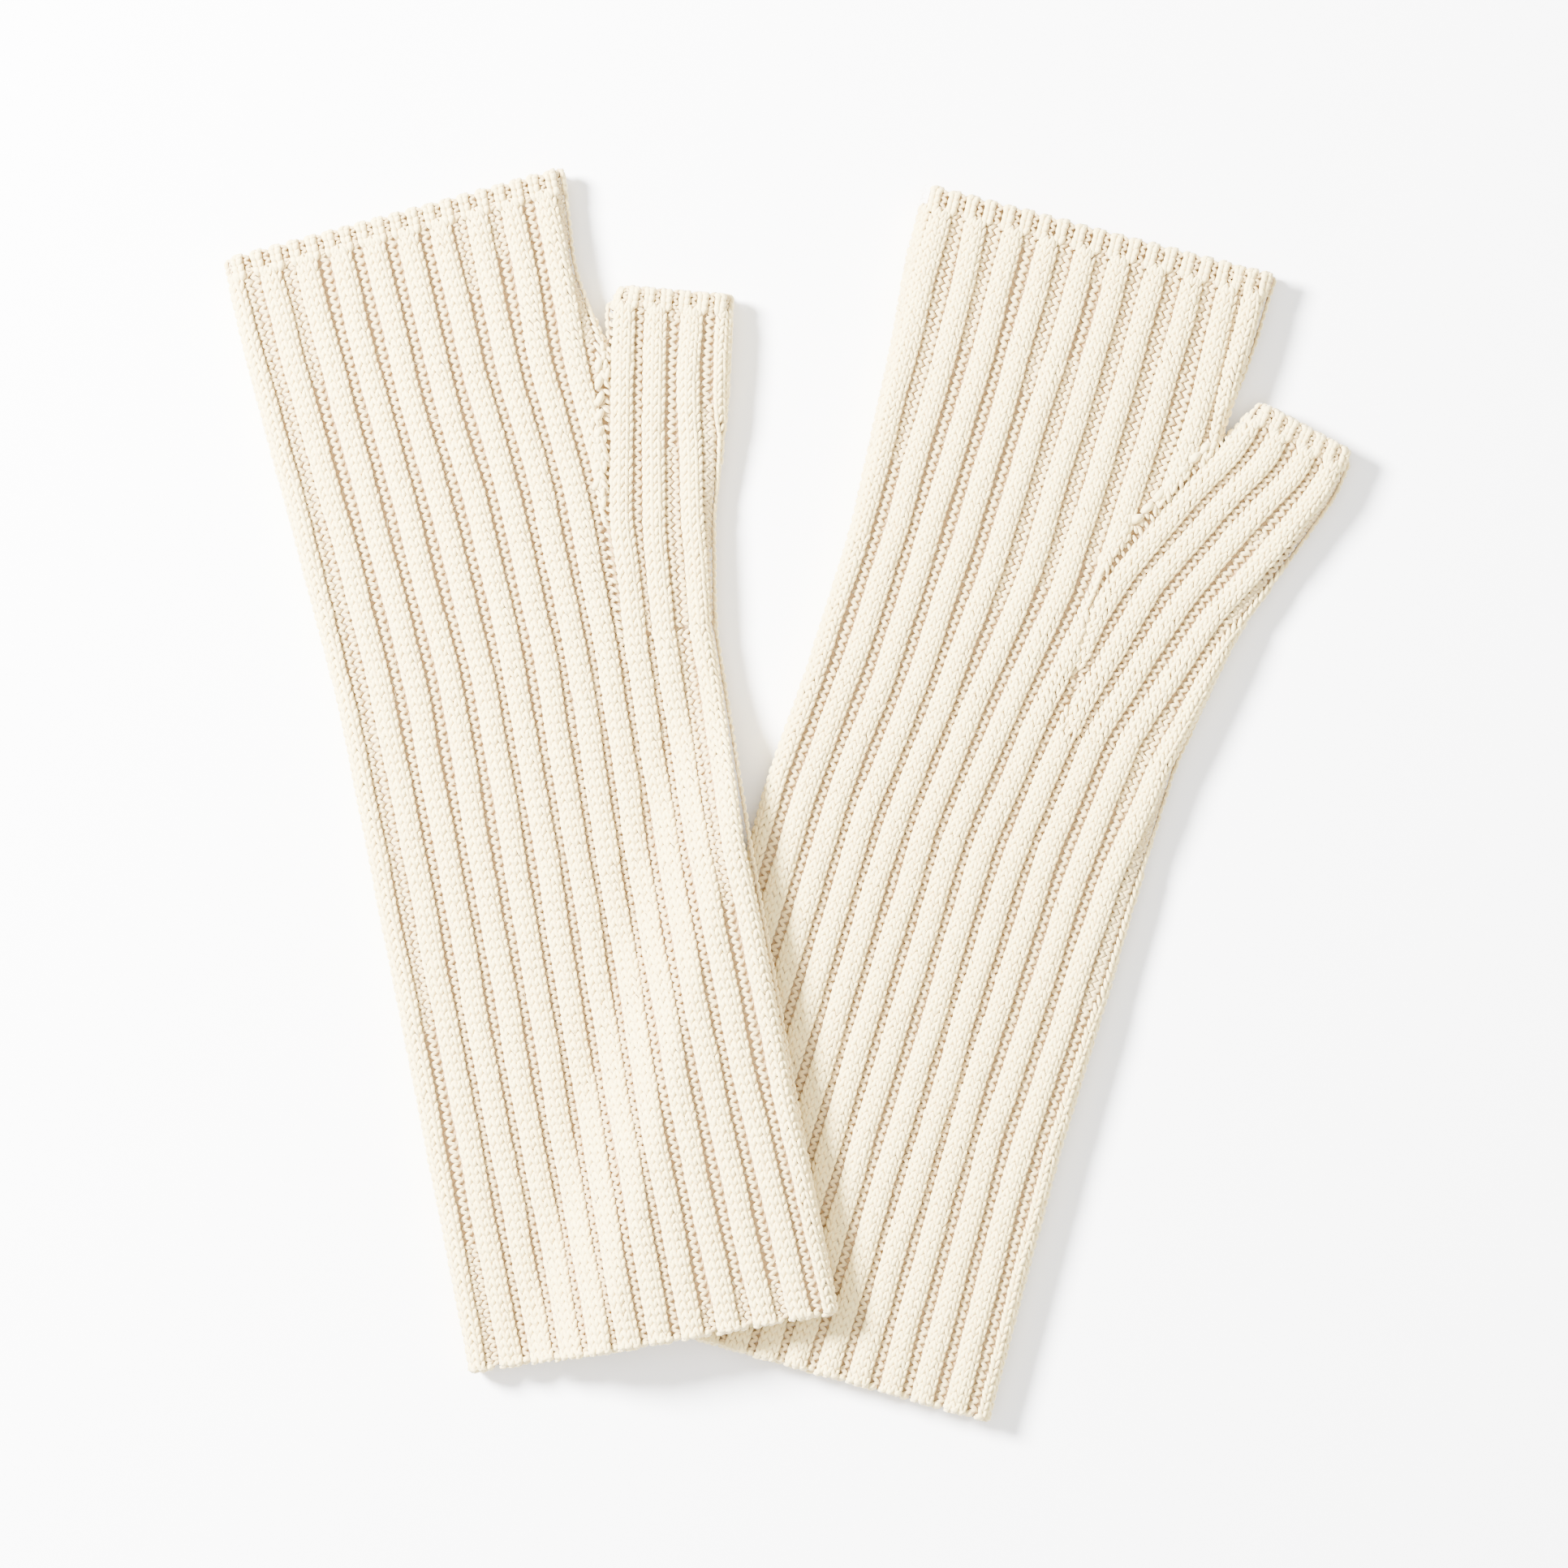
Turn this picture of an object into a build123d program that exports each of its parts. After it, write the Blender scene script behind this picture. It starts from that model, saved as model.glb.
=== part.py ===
from build123d import *
import math
import os

# A pair of long, wide-ribbed knitted fingerless gloves, lying flat on a table with one glove partly
# on top of the other. Millimetres. X runs across the pair, Y from the cuffs to the fingers, Z up.
# The origin is the middle of the pair's footprint, on the table.

# ---- driving dimensions -------------------------------------------------------------------------
LYING_THICKNESS = 10.0          # one flattened glove, top fabric to bottom fabric
FABRIC = 2.6                    # one layer of wide-rib knitting
EDGE_RADIUS = LYING_THICKNESS / 2
FINGER_BAND = 5.5               # height of the one-and-one rib at the finger opening
THUMB_BAND = 5.0                # height of the one-and-one rib at the thumb opening
CAST_ON = 2.5                   # height of the cast-on edge at the cuff
FOLD_STRIP = EDGE_RADIUS + 0.6  # width of a folded or seamed edge, seen from above
SWING_GAP = 0.5                 # clearance round the swinging thumb
SWING_RELIEF_DEG = 24.0         # fabric left out beside the thumb so that it can swing outwards
OVERLAP_GAP = 0.5               # air between the two gloves where they cross
RISE = LYING_THICKNESS + OVERLAP_GAP
RISE_LENGTH = 24.0              # how far the upper glove takes to climb onto the lower one
RISE_MARGIN = 3.0               # it is fully up this far before the lower glove's edge
FADE_TOP_Y = 36.0               # above this the upper glove lies flat on the table
FADE_LENGTH = 34.0              # how far it takes to come back down, going up the arm

# ---- cutters and construction -------------------------------------------------------------------
REACH = 60.0                    # height of every cutter, and how far a wide one reaches
CUTTER_FLOOR = -15.0            # cutters start this far below the table
PAST_OPENING = 20.0             # how far a cutter runs out of an opening
PAST_OUTLINE = 15.0             # how far a cutter runs outside a folded or seamed edge
PAST_HAND_EDGE = 5.0            # the same beside the hand, short enough to miss the thumb
SECTION_POINTS = 19             # points across a section that has to climb
ARM_DIVISIONS = 3               # sections between two arm stations
CUFF_RUN_ON = 0.25              # the hollow runs on past the cuff by this share of a station gap
FINGER_RUN_ON = 0.5             # and past the finger and thumb openings by this share
SEAM_START = 0.25               # the hand's seamed edge starts this share of a gap under the crotch
SWEEP_INNER = 0.8               # the sweep relief starts at this share of the pivot's radius
LEVEL = 1e-6                    # a section flatter than this needs no curve
CRUMB = 20.0                    # solids smaller than this, in cubic mm, are crumbs of a cut

# A station is a straight line across a glove: its left end x and y, its width, and how far it is
# turned from +X. Stations run from the cuff to the finger opening.
UPPER_HAND = [
    (-83.1, -149.7, 98.0, 9.9),
    (-95.4, -88.8, 98.9, 10.0),
    (-107.0, -30.0, 100.0, 10.5),
    (-117.5, 24.6, 101.7, 11.0),
    (-129.0, 66.0, 88.0, 12.5),
    (-136.3, 93.0, 92.8, 14.0),
    (-141.0, 113.0, 89.6, 14.6),
    (-145.4, 138.0, 89.7, 15.2),
]
LOWER_HAND = [
    (-41.1, -135.9, 97.5, -15.7),
    (-25.3, -67.8, 99.9, -15.9),
    (-6.4, 3.6, 102.1, -16.1),
    (5.4, 37.2, 101.0, -17.5),
    (15.6, 70.8, 79.8, -17.0),
    (25.7, 117.2, 90.7, -17.0),
    (29.3, 138.0, 95.4, -15.5),
    (35.6, 157.3, 93.3, -14.6),
]
ARM_STATIONS = 4                # the first stations span arm and thumb together
CROTCH_STATION = 5              # the station whose right end is the crotch of the thumb

# Thumb stations are given by their outer (right) end, because the thumb follows the outer edge.
UPPER_THUMB = [
    (-18.0, 70.8, 37.5, 4.0),
    (-15.0, 100.2, 40.0, 0.0),
    (-14.2, 110.0, 39.0, -2.0),
    (-13.8, 114.9, 32.5, -3.0),
    (-13.5, 126.6, 27.5, -5.0),
]
LOWER_THUMB = [
    (117.5, 41.4, 44.0, -27.0),
    (133.0, 62.4, 44.0, -30.0),
    (140.0, 72.1, 41.0, -28.6),
    (142.7, 75.8, 33.8, -28.0),
    (145.9, 84.4, 26.1, -28.8),
]
THUMB_ROOT_WIDTH = 34.0

# The swing pivot of each thumb, its disc radius and the direction of the thumb from +Y.
UPPER_SWING = ((-30.6, 105.0), 16.2, 3.0)
LOWER_SWING = ((122.0, 75.9), 16.0, 31.0)

# The fashioned diagonal where the hand ribs end and the thumb gusset begins.
UPPER_GUSSET = ((-50.5, 70.8), (-46.5, 112.8))
LOWER_GUSSET = ((78.6, 58.2), (111.2, 89.7))


# ---- the lie of the fabric ----------------------------------------------------------------------
def smooth(t):
    """An eased step from 0 to 1."""
    t = min(max(t, 0.0), 1.0)
    return t * t * (3.0 - 2.0 * t)


def rise_of_upper_glove(x, y):
    """Height of the upper glove's underside over the table: it climbs onto the lower glove."""
    (x0, y0), (x1, y1) = LOWER_HAND[0][:2], LOWER_HAND[2][:2]
    edge_x = x0 + (x1 - x0) * (y - y0) / (y1 - y0)
    lean = math.atan2(x1 - x0, y1 - y0)
    inside = (x - edge_x) * math.cos(lean)
    share = smooth((inside + RISE_MARGIN + RISE_LENGTH) / RISE_LENGTH)
    return RISE * share * smooth((FADE_TOP_Y - y) / FADE_LENGTH)


def lie_flat(x, y):
    """The lower glove lies flat everywhere."""
    return 0.0


# ---- stations -----------------------------------------------------------------------------------
def across(tilt):
    """The direction along a station."""
    return math.cos(math.radians(tilt)), math.sin(math.radians(tilt))


def right_end(station):
    x, y, width, tilt = station
    cx, cy = across(tilt)
    return x + width * cx, y + width * cy


def from_outer_end(station):
    """The same station given by its left end."""
    x, y, width, tilt = station
    cx, cy = across(tilt)
    return x - width * cx, y - width * cy, width, tilt


def between(a, b, t):
    return tuple(p + (q - p) * t for p, q in zip(a, b))


def subdivide(stations, steps):
    fine = []
    for a, b in zip(stations, stations[1:]):
        fine += [between(a, b, i / steps) for i in range(steps)]
    return fine + [stations[-1]]


def run_past(stations):
    """The stations with one more at each end, so that the hollow runs out of both openings."""
    first = between(stations[0], stations[1], -CUFF_RUN_ON)
    last = between(stations[-1], stations[-2], -FINGER_RUN_ON)
    return [first] + stations + [last]


def section(station, lie, inset):
    """A flattened tube's section over one station: two fabrics joined by two round edges."""
    x, y, width, tilt = station
    cx, cy = across(tilt)
    radius = EDGE_RADIUS - inset

    def at(u, height):
        px, py = x + u * cx, y + u * cy
        return Vector(px, py, lie(px, py) + height)

    def end(u, outward):
        low, high = at(u, inset), at(u, LYING_THICKNESS - inset)
        tip = (low + high) / 2 + Vector(cx, cy, 0) * radius * outward
        return low, tip, high

    left, right = EDGE_RADIUS, width - EDGE_RADIUS
    last = SECTION_POINTS - 1
    stops = [left + (right - left) * i / last for i in range(SECTION_POINTS)]
    bottom = [at(u, inset) for u in stops]
    top = [at(u, LYING_THICKNESS - inset) for u in stops]
    if max(p.Z for p in bottom) - min(p.Z for p in bottom) < LEVEL:
        lower, upper = Line(bottom[0], bottom[-1]), Line(top[-1], top[0])
    else:
        lower, upper = Spline(*bottom), Spline(*reversed(top))
    low_r, tip_r, high_r = end(right, 1)
    low_l, tip_l, high_l = end(left, -1)
    right_arc = ThreePointArc(low_r, tip_r, high_r)
    left_arc = ThreePointArc(high_l, tip_l, low_l)
    return Wire([lower.edge(), right_arc.edge(), upper.edge(), left_arc.edge()])


def tube(stations, lie, inset):
    return Solid.make_loft([section(s, lie, inset) for s in stations], ruled=True)


# ---- cutters, all straight up and down ----------------------------------------------------------
def prism(points):
    face = Face(Wire.make_polygon([(x, y, CUTTER_FLOOR) for x, y in points], close=True))
    return Solid.extrude(face, Vector(0, 0, REACH))


def beside(point, tilt, along, out):
    """A point moved along a station and out of it towards the fingers."""
    cx, cy = across(tilt)
    return point[0] + along * cx - out * cy, point[1] + along * cy + out * cx


def end_zone(station, depth):
    """Everything within depth of an opening: positive depth at the fingers, negative at the cuff."""
    x, y, width, tilt = station
    far = math.copysign(PAST_OPENING, depth)
    corners = [(-REACH, -depth), (width + REACH, -depth), (width + REACH, far), (-REACH, far)]
    return prism([beside((x, y), tilt, along, out) for along, out in corners])


def strip(points, tilts, inside, outside):
    """A band along an edge: inside and outside are distances along the stations."""
    near = [beside(p, t, inside, 0) for p, t in zip(points, tilts)]
    far = [beside(p, t, outside, 0) for p, t in zip(points, tilts)]
    return prism(near + far[::-1])


def thumb_zone(swing, gap):
    """The thumb beyond its round root, seen from above."""
    (px, py), radius, lean = swing
    half = radius + gap
    disc = Cylinder(half, REACH, align=(Align.CENTER, Align.CENTER, Align.MIN))
    beyond = Box(half + REACH, REACH, REACH, align=(Align.MIN, Align.MIN, Align.MIN))
    beyond = Pos(-half, -gap, 0) * beyond
    return Pos(px, py, CUTTER_FLOOR) * Rot(0, 0, -lean) * (disc + beyond)


def swing_relief(swing):
    """The wedge of gusset beside the pivot that the thumb's outer corner sweeps through."""
    (px, py), radius, lean = swing
    sweep = math.radians(lean + SWING_RELIEF_DEG)
    start = math.radians(lean)
    reach = radius + PAST_OPENING
    inner = radius * SWEEP_INNER
    corners = [(inner, start), (reach, start), (reach, sweep), (inner, sweep)]
    return prism([(px + r * math.cos(a), py - r * math.sin(a)) for r, a in corners])


def gusset_zone(gusset, tilt):
    """Right of the fashioned diagonal and above the row where it starts."""
    foot, head = gusset
    run = math.dist(foot, head)
    ux, uy = (head[0] - foot[0]) / run, (head[1] - foot[1]) / run
    top = (head[0] + ux * REACH / 2, head[1] + uy * REACH / 2)
    outer_top = (top[0] + REACH, top[1] - REACH)
    return prism([foot, beside(foot, tilt, REACH, 0), outer_top, top])


# ---- one glove ----------------------------------------------------------------------------------
def split_layers(shape):
    """The two fabrics of a flattened region: (front, back), front being the upper one."""
    layers = sorted(shape.solids(), key=lambda s: -s.volume)[:2]
    layers.sort(key=lambda s: s.center().Z)
    return layers[1], layers[0]


def keep_solids(shape):
    """The shape without the crumbs that a grazing cut can leave."""
    solids = [s for s in shape.solids() if s.volume > CRUMB]
    return solids[0] if len(solids) == 1 else Compound(children=solids)


def make_glove(prefix, hand, thumb, swing, gusset, lie):
    arm_fine = subdivide(hand[:ARM_STATIONS], ARM_DIVISIONS)
    hand_line = arm_fine + hand[ARM_STATIONS:]
    root = hand[ARM_STATIONS - 1]
    root_right = right_end(root)
    thumb_root = from_outer_end((*root_right, THUMB_ROOT_WIDTH, root[3]))
    thumb_line = [thumb_root] + [from_outer_end(s) for s in thumb]

    outside = tube(hand_line, lie, 0) + tube(thumb_line, lie, 0)
    hollow_thumb = thumb_line + [between(thumb_line[-1], thumb_line[-2], -FINGER_RUN_ON)]
    hollow = tube(run_past(hand_line), lie, FABRIC) + tube(hollow_thumb, lie, FABRIC)
    knit = outside - hollow
    pieces = {}

    def take(name, zone):
        nonlocal knit
        pieces[name] = keep_solids(knit & zone)
        knit = knit - zone

    take("cast_on_edge", end_zone(hand[0], -CAST_ON))
    take("finger_band", end_zone(hand[-1], FINGER_BAND))

    moving = knit & thumb_zone(swing, 0)
    knit = knit - thumb_zone(swing, SWING_GAP) - swing_relief(swing)
    band = end_zone(thumb_line[-1], THUMB_BAND)
    pieces["thumb_band"] = keep_solids(moving & band)
    pieces["thumb_tube"] = keep_solids(moving - band)

    left_ends = [s[:2] for s in hand_line]
    tilts = [s[3] for s in hand_line]
    take("outer_fold", strip(left_ends, tilts, FOLD_STRIP, -PAST_OUTLINE))

    below_crotch = between(hand[CROTCH_STATION], hand[CROTCH_STATION - 1], SEAM_START)
    upper_hand = [below_crotch] + hand[CROTCH_STATION:]
    hand_edge = [right_end(s) for s in upper_hand]
    hand_tilts = [s[3] for s in upper_hand]
    take("hand_seam_edge", strip(hand_edge, hand_tilts, -FOLD_STRIP, PAST_HAND_EDGE))

    outer = [right_end(s) for s in arm_fine] + [s[:2] for s in thumb]
    outer_tilts = [s[3] for s in arm_fine] + [s[3] for s in thumb]
    outer_strip = strip(outer, outer_tilts, -FOLD_STRIP, PAST_OUTLINE)
    zone = gusset_zone(gusset, hand[ARM_STATIONS][3])
    take("thumb_seam_edge", outer_strip & zone)
    take("arm_seam_edge", outer_strip)
    pieces["gusset_front"], pieces["gusset_back"] = split_layers(knit & zone)
    pieces["front_panel"], pieces["back_panel"] = split_layers(knit - zone)
    return {f"{prefix}_{name}": shape for name, shape in pieces.items()}


def main():
    os.makedirs("parts", exist_ok=True)
    gloves = make_glove("upper", UPPER_HAND, UPPER_THUMB, UPPER_SWING, UPPER_GUSSET,
                        rise_of_upper_glove)
    gloves.update(make_glove("lower", LOWER_HAND, LOWER_THUMB, LOWER_SWING, LOWER_GUSSET, lie_flat))
    for name, shape in gloves.items():
        export_step(shape, f"parts/{name}.step")
        print(f"{name}: {len(shape.solids())} solid(s), {shape.volume / 1000:.2f} cm3")


main()
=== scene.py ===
# %% [markdown]
# A pair of long ribbed fingerless gloves, lying flat, one partly on the other. The gloves are
# plain knitting: hundreds of columns of V-shaped stitches. So this lesson doesn't paint knitting
# on a smooth shape. It lays out where every stitch sits and lets Geometry Nodes put a short,
# plump piece of yarn there. First the packed frame is loaded: its bodies carry every piece.

# %% Load the frame
import math

import bmesh
import bpy
import numpy as np
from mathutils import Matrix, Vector


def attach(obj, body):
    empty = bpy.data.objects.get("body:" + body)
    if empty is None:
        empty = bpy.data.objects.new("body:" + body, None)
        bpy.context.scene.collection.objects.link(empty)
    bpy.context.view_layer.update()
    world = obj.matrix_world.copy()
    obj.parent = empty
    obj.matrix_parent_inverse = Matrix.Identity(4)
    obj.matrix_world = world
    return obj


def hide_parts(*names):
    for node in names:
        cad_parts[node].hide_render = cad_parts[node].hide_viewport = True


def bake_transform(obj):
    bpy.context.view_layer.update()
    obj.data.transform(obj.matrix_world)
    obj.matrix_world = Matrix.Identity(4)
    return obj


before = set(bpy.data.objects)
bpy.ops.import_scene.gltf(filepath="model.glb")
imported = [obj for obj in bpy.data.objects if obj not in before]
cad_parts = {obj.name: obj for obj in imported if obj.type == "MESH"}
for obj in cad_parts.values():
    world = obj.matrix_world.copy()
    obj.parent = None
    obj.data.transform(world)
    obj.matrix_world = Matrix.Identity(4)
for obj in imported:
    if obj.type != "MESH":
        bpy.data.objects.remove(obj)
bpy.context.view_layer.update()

MM = 0.001
rng = np.random.default_rng(7)


def show(name, data):
    """Puts mesh, camera or light data into the scene as one object."""
    made = bpy.data.objects.new(name, data)
    bpy.context.scene.collection.objects.link(made)
    return made


# %% [markdown]
# The camera looks straight down through a long lens, so that the thickness of the gloves hardly
# shifts their outline. A window high on the left gives each rib a light and a dark side and the
# gloves a soft shadow on the right; a broad ceiling light and a white room fill the rest.

# %% Camera and studio light
FIELD = 0.4057                  # width of the view, at the height where most of the knitting lies
CAMERA_HEIGHT = 1.6
FOCUS_HEIGHT = 0.008
SENSOR = 36.0
VIEW_CENTRE = (-0.0009, 0.0023)
ROOM_STRENGTH = 1.35
LIGHTS = {                      # place, diameter in metres, power in watts
    "window": ((-1.0, 0.5, 0.95), 0.42, 275.0),
    "ceiling": ((0.1, -0.1, 1.5), 1.6, 30.0),
}


def make_camera():
    lens = bpy.data.cameras.new("overhead_camera")
    lens.sensor_width = SENSOR
    lens.lens = SENSOR * (CAMERA_HEIGHT - FOCUS_HEIGHT) / FIELD
    camera = show("overhead_camera", lens)
    camera.location = (*VIEW_CENTRE, CAMERA_HEIGHT)
    bpy.context.scene.camera = camera
    print(f"camera: {lens.lens:.0f} mm lens, {FIELD} m across")


def area_light(name, place, diameter, power):
    """A round lamp that faces the middle of the table."""
    data = bpy.data.lights.new(name, "AREA")
    data.shape = "DISK"
    data.size = diameter
    data.energy = power
    lamp = show(name, data)
    lamp.location = place
    lamp.rotation_euler = (-Vector(place)).to_track_quat("-Z", "Y").to_euler()
    print(f"{name}: {power:.0f} W from {math.dist(place, (0, 0, 0)):.2f} m")


make_camera()
for name, (place, diameter, power) in LIGHTS.items():
    area_light(name, place, diameter, power)
room = bpy.data.worlds.new("studio")
room.use_nodes = True
background = room.node_tree.nodes["Background"]
background.inputs["Color"].default_value = (1, 1, 1, 1)
background.inputs["Strength"].default_value = ROOM_STRENGTH
bpy.context.scene.world = room

# %% [markdown]
# Shader maths reads better as plain sums. A Field wraps one socket of a node tree; adding or
# multiplying Fields adds the Math nodes. The same class serves the Geometry Nodes trees, because
# both kinds of tree use the same Math nodes.

# %% A socket with operators
class Field:
    """One value of a node tree, to calculate with."""

    def __init__(self, tree, socket):
        self.tree = tree
        self.socket = socket

    def _math(self, kind, *others, clamp=False):
        node = self.tree.nodes.new("ShaderNodeMath")
        node.operation = kind
        node.use_clamp = clamp
        for slot_in, value in zip(node.inputs, (self, *others)):
            plug(self.tree, slot_in, value)
        return Field(self.tree, node.outputs[0])

    def __add__(self, other):
        return self._math("ADD", other)

    def __radd__(self, other):
        return self._math("ADD", other)

    def __sub__(self, other):
        return self._math("SUBTRACT", other)

    def __rsub__(self, other):
        return (self * -1.0) + other

    def __mul__(self, other):
        return self._math("MULTIPLY", other)

    def __rmul__(self, other):
        return self._math("MULTIPLY", other)

    def sin(self):
        return self._math("SINE")

    def atan2(self, other):
        return self._math("ARCTAN2", other)

    def power(self, other):
        return self._math("POWER", other)

    def clamp(self):
        return self._math("ADD", 0.0, clamp=True)


def plug(tree, socket, value):
    """A link if the value is a Field or a socket, else a setting."""
    if isinstance(value, Field):
        tree.links.new(value.socket, socket)
    elif isinstance(value, bpy.types.NodeSocket):
        tree.links.new(value, socket)
    else:
        socket.default_value = value


def node(tree, kind, settings=None, **values):
    """Any other node: its type, its settings first, then its sockets by name."""
    made = tree.nodes.new(kind)
    for key, value in (settings or {}).items():
        setattr(made, key, value)
    for key, value in values.items():
        socket = next(s for s in made.inputs if s.enabled and s.name.replace(" ", "_") == key)
        plug(tree, socket, value)
    return made


def out(tree, made, name):
    """A node's output by name, as a Field."""
    return Field(tree, next(s for s in made.outputs if s.enabled and s.name == name))


print("Fields know:", [name for name in vars(Field) if not name.startswith("_")], "and + - *")

# %% [markdown]
# The yarn is undyed, softly brushed wool, ivory with creamy patches. The warm tan down between
# the stitches and on the underside of each piece of yarn is painted shade, standing for the dim light
# that has bounced from fibre to fibre. Each piece of yarn carries its own coordinates, called grain,
# so the plies can be drawn as a helix round it at the right scale.

# %% Wool
IVORY = (0.85, 0.70, 0.33, 1)
CREAM = (0.82, 0.64, 0.28, 1)
# painted shade: the tan that grooves, gaps and the underside of each piece of yarn take; the fibres' own
# uneven tone leans to it too
SHADE_TAN = (0.39, 0.235, 0.10, 1)
PLIES = 2.0
PLY_TURNS = 2.2                 # turns of the twist along one leg of a stitch
FIBRE_SCALE, CLOUD_SCALE = 2600.0, 45.0
# painted shade below a height within each piece of yarn and where a piece lies down in a recess, weighed
# next to the fibres' own uneven tone and the plies' faint stripes
SHADED_BELOW, SHADE_RATE = 0.2, 1.9     # height within the yarn under which it darkens
UNDERSIDE_SHADE, RECESS_SHADE, FIBRE_DARK, PLY_DARK = 0.68, 0.8, 0.28, 0.04
SHARES_OF_CREAM = (0.55, 0.7)   # by piece of yarn, by cloudy patch
BUMP_STRENGTH, BUMP_DEPTH = 0.55, 0.00016


def mix_colour(tree, factor, a, b):
    """From colour a to colour b; the Mix node's colour sockets share their names with others."""
    made = tree.nodes.new("ShaderNodeMix")
    made.data_type = "RGBA"
    for index, value in ((0, factor), (6, a), (7, b)):
        plug(tree, made.inputs[index], value)
    return made.outputs[2]


def wool(name):
    material = bpy.data.materials.new(name)
    material.use_nodes = True
    tree = material.node_tree
    shader = tree.nodes["Principled BSDF"]
    grain = node(tree, "ShaderNodeAttribute", {"attribute_name": "grain"})
    parts = node(tree, "ShaderNodeSeparateXYZ", Vector=grain.outputs["Vector"])
    x, y, z = (out(tree, parts, axis) for axis in "XYZ")
    tint = out(tree, node(tree, "ShaderNodeAttribute", {"attribute_name": "tint"}), "Fac")
    deep = out(tree, node(tree, "ShaderNodeAttribute", {"attribute_name": "deep"}), "Fac")
    ply = (x.atan2(z) * PLIES + y * (6.283 * PLY_TURNS) + tint * 6.0).sin()
    place = node(tree, "ShaderNodeTexCoord").outputs["Object"]
    fibre = node(tree, "ShaderNodeTexNoise", Vector=place, Scale=FIBRE_SCALE, Detail=3.0)
    cloud = node(tree, "ShaderNodeTexNoise", Vector=place, Scale=CLOUD_SCALE, Detail=2.0)
    strands = out(tree, fibre, "Fac")
    patch = out(tree, cloud, "Fac")
    # painted shade on the underside of the yarn and in recesses, mixed with the fibres' own uneven tone
    under = ((SHADED_BELOW - z) * SHADE_RATE).clamp()
    shade_and_fibres = under * UNDERSIDE_SHADE + deep * RECESS_SHADE + (strands - 0.5) * FIBRE_DARK - ply * PLY_DARK
    creamy = tint * SHARES_OF_CREAM[0] + (patch - 0.5) * SHARES_OF_CREAM[1]
    body = mix_colour(tree, creamy.clamp(), IVORY, CREAM)
    plug(tree, shader.inputs["Base Color"], mix_colour(tree, shade_and_fibres.clamp(), body, SHADE_TAN))
    bump = node(tree, "ShaderNodeBump", Strength=BUMP_STRENGTH, Distance=BUMP_DEPTH,
                Height=ply * 0.3 + strands)
    plug(tree, shader.inputs["Normal"], bump.outputs[0])
    for socket, value in (("Roughness", 0.92), ("Sheen Weight", 0.45), ("Sheen Roughness", 0.5),
                          ("Specular IOR Level", 0.15)):
        shader.inputs[socket].default_value = value
    return material


WOOL = wool("brushed_wool")
print("wool ready with", len(WOOL.node_tree.nodes), "nodes")

# %% [markdown]
# Each glove follows a few stations, straight lines across it from the cuff to the fingers: the
# place of the left end, the width and the turn, in millimetres, the same lines the CAD uses. The
# thumb's stations hang from the outer edge, because the thumb ribs run along that edge. Each
# station also lists how far along it the grooves between the ribs lie.

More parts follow.
